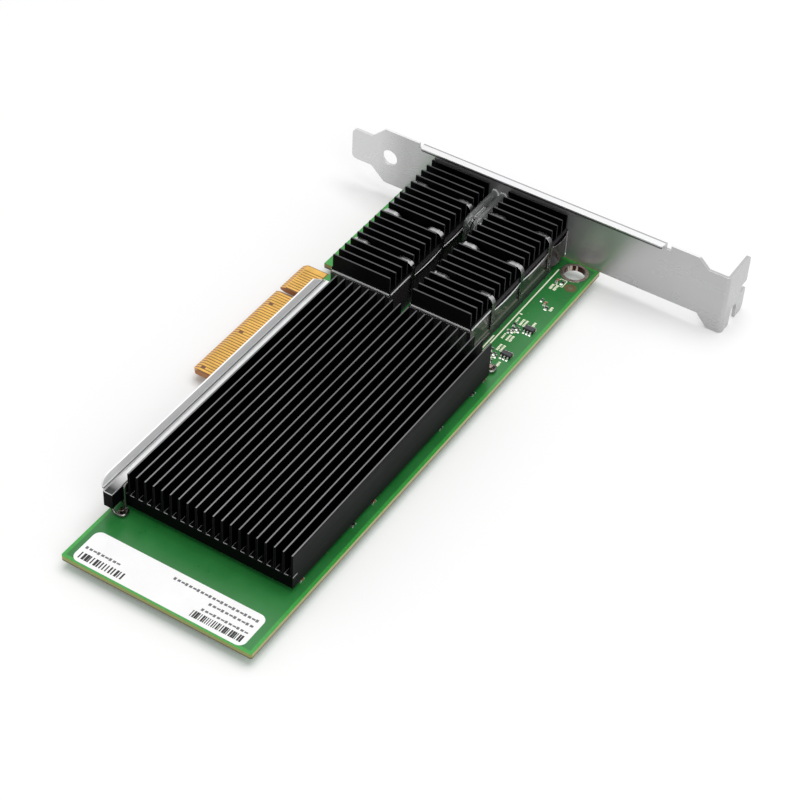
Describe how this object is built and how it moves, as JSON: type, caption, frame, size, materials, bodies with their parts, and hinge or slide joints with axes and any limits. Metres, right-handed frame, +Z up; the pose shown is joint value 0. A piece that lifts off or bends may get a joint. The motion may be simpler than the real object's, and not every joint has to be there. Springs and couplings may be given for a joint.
{
  "type": "network interface card",
  "caption": "Server network card: green board with an edge connector, black finned heat sinks, two caged ports and a full-height steel bracket.",
  "frame": {"origin": "under the middle of the card's outline, at the level of its lowest point, the bracket's bent tab", "axes": "+X along the card to the bracket, +Y to the edge connector, +Z up from the component side"},
  "size_m": [0.1812, 0.12, 0.0227],
  "materials": {
    "solder_mask": "satin green solder mask",
    "contact_gold": "polished gold plating",
    "ring_tin": "tinned, satin",
    "bracket_steel": "galvanised sheet, satin",
    "screw_steel": "zinc plated",
    "cage_steel": "polished nickel plate",
    "clip_steel": "bright spring steel",
    "connector_black": "moulded, satin",
    "sink_black": "black anodised, satin",
    "rail_steel": "bright plated strip",
    "spring_steel": "drawn wire",
    "pipe_clear": "clear moulding, glossy",
    "light_pale": "small diffuse lens",
    "package_green": "laminate, satin",
    "spreader_nickel": "nickel plated copper",
    "pad_grey": "soft thermal pad",
    "package_black": "moulded epoxy, matt",
    "lead_tin": "tinned leads",
    "can_nickel": "metal can lid",
    "inductor_grey": "pressed powder, matt",
    "capacitor_tan": "ceramic body, tinned ends",
    "resistor_black": "ceramic body, black glaze",
    "label_white": "coated paper, matt",
    "fiducial_tin": "tinned pad"
  },
  "bodies": {
    "root": {"circuit_board": "solder_mask", "edge_contacts_top": "contact_gold", "edge_contacts_bottom": "contact_gold", "mounting_ring": "ring_tin", "mounting_bracket": "bracket_steel", "ear_screw": "screw_steel", "ear_nut": "screw_steel", "light_pipe": "pipe_clear", "status_lights": "light_pale", "main_heat_sink": "sink_black", "heat_sink_rail": "rail_steel", "retention_posts": "ring_tin", "retention_springs": "spring_steel", "controller_package": "package_green", "heat_spreader": "spreader_nickel", "thermal_pad": "pad_grey", "flash_memory": "package_black", "oscillator": "can_nickel", "power_inductors": "inductor_grey", "decoupling_capacitors": "capacitor_tan", "label": "label_white", "converter_packages": "package_black", "converter_leads": "lead_tin", "chip_capacitors": "capacitor_tan", "chip_resistors": "resistor_black", "fiducial": "fiducial_tin", "port_1_cage": "cage_steel", "port_1_connector": "connector_black", "port_1_heat_sink": "sink_black", "port_1_clip": "clip_steel", "port_1_collar": "cage_steel", "port_2_cage": "cage_steel", "port_2_connector": "connector_black", "port_2_heat_sink": "sink_black", "port_2_clip": "clip_steel", "port_2_collar": "cage_steel"}
  },
  "joints": []
}
